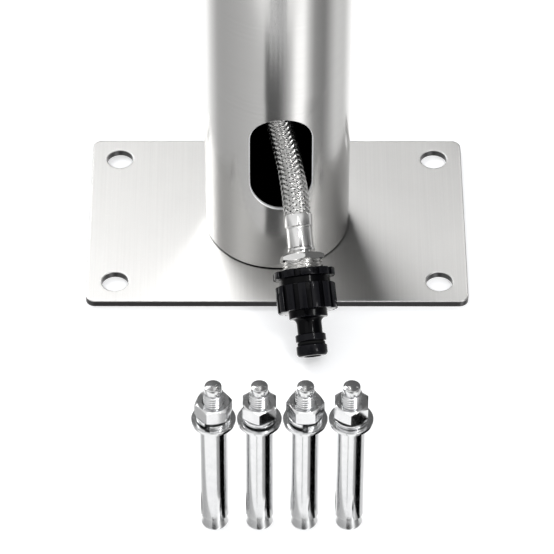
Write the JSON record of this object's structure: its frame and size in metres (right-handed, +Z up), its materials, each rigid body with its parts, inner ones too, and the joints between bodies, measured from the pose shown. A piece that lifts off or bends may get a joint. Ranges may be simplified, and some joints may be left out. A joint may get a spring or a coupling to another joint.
{
  "type": "outdoor shower",
  "caption": "Free-standing outdoor shower: round steel column on a bolt-down plate, cold-water hose with tap connector, lever valve, arm and tilting rain head.",
  "frame": {"origin": "middle of the base plate's underside, on the column's axis", "axes": "+Z up along the column; -Y the hose side with the window and the tap connector; +Y the user's side with the lever and the head; +X to the right of someone who looks at the hose side"},
  "size_m": [0.2, 0.5928, 2.1065],
  "materials": {
    "brushed_stainless": "brushed",
    "polished_chrome": "polished",
    "brass": "machined",
    "rubber": "matte",
    "steel_braid": "woven wire",
    "crimped_steel": "pressed",
    "nickel_plate": "satin plated",
    "fibre": "pressed fibre",
    "black_plastic": "moulded, glossy",
    "ivory_plastic": "moulded",
    "ceramic": "ground alumina",
    "grey_silicone": "soft",
    "bright_zinc": "bright zinc plated"
  },
  "bodies": {
    "root": {"base_plate": "brushed_stainless", "column_tube": "brushed_stainless", "column_cap": "brushed_stainless", "cap_o_ring": "rubber", "supply_hose": "steel_braid", "hose_end_ferrule": "crimped_steel", "hose_tailpiece": "nickel_plate", "tailpiece_washer": "fibre", "thread_reducer": "black_plastic", "connector_washer": "rubber", "tap_connector": "black_plastic", "nipple_o_ring": "rubber", "hose_top_ferrule": "crimped_steel", "hose_top_insert": "nickel_plate", "hose_union_nut": "nickel_plate", "hose_union_washer": "fibre", "valve_body": "brass", "valve_saddle_washer": "rubber", "valve_escutcheon": "brushed_stainless", "valve_lock_nut": "nickel_plate", "cartridge_body": "ivory_plastic", "cartridge_nut": "brass", "disc_seal": "rubber", "ceramic_disc_fixed": "ceramic", "riser_pipe": "brushed_stainless", "riser_union_nuts": "nickel_plate", "riser_washers": "fibre", "arm_elbow": "brass", "elbow_saddle_washer": "rubber", "arm_rosette": "brushed_stainless", "arm_lock_nut": "nickel_plate", "arm_washer": "fibre", "shower_arm": "brushed_stainless", "ball_stud": "polished_chrome", "anchor_studs": "bright_zinc", "anchor_sleeves": "bright_zinc", "anchor_washers": "bright_zinc", "anchor_spring_washers": "bright_zinc", "anchor_nuts": "bright_zinc"},
    "handle": {"ceramic_disc_turning": "ceramic", "valve_spindle": "brass", "spindle_o_ring": "rubber", "handle_lever": "brushed_stainless", "handle_screw": "nickel_plate", "handle_cover": "polished_chrome"},
    "ball_ring": {"ball_seat": "brass"},
    "head": {"swivel_nut": "polished_chrome", "flow_washer": "rubber", "head_shell": "brushed_stainless", "spray_plate": "brushed_stainless", "nozzle_mat": "grey_silicone"}
  },
  "joints": [
    {"name": "handle_turn", "type": "hinge", "parent": "root", "child": "handle", "pos_m": [0, 0.066, 1.1], "axis": [0, 1, 0], "range_deg": [0, 90]},
    {"name": "head_nod", "type": "hinge", "parent": "root", "child": "ball_ring", "pos_m": [0, 0.28, 1.96], "axis": [1, 0, 0], "range_deg": [-15, 15]},
    {"name": "head_sway", "type": "hinge", "parent": "ball_ring", "child": "head", "pos_m": [0, 0.28, 1.96], "axis": [0, 1, 0], "range_deg": [-15, 15]}
  ]
}
